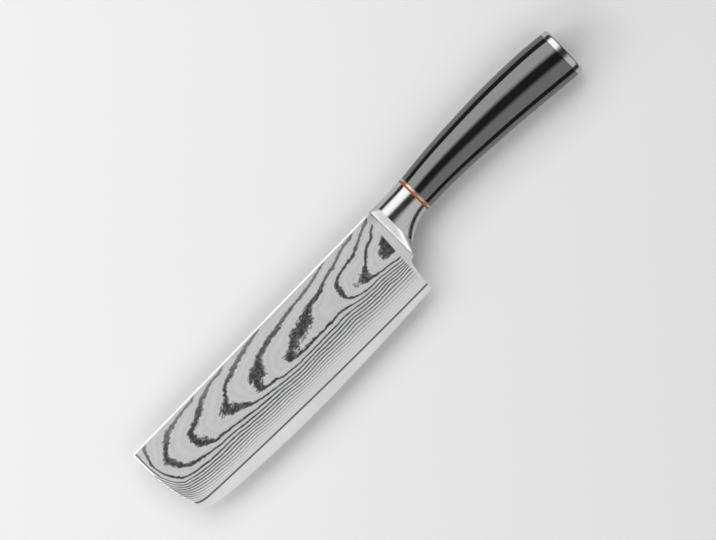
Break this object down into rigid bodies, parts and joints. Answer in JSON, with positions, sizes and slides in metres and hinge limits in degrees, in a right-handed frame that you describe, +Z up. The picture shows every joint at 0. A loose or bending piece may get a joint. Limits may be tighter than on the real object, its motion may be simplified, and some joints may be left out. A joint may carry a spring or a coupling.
{
  "type": "nakiri kitchen knife",
  "caption": "Nakiri vegetable knife with a tall straight-edged layered steel blade, a steel bolster with a web, a ringed oval black grip and a steel butt cap.",
  "frame": {"origin": "under the middle of the knife's bounding box, on the surface it lies on", "axes": "+X from tip to butt, +Y from cutting edge to spine, +Z up out of the blade's left side"},
  "size_m": [0.3108, 0.0568, 0.02],
  "materials": {
    "core_steel": "hard carbon-rich stainless centre layer, fine satin grind, bright at the sharpened edge",
    "layered_steel": "etched layered stainless, satin, light and dark bands in a wood-grain pattern",
    "polished_steel": "polished stainless with faint length-wise lines",
    "red_fibre": "dyed vulcanised fibre, buffed flush",
    "ring_brass": "polished brass",
    "black_resin": "black resin-bonded laminate, buffed to a gloss",
    "tang_steel": "plain mild stainless as rolled",
    "epoxy": "cured amber epoxy"
  },
  "bodies": {
    "root": {"blade_core": "core_steel", "cladding_left": "layered_steel", "cladding_right": "layered_steel", "bolster": "polished_steel", "red_spacer": "red_fibre", "brass_ring": "ring_brass", "grip": "black_resin", "end_cap": "polished_steel", "tang": "tang_steel", "tang_bedding": "epoxy", "tang_washer": "tang_steel", "tang_nut": "tang_steel"}
  },
  "joints": []
}
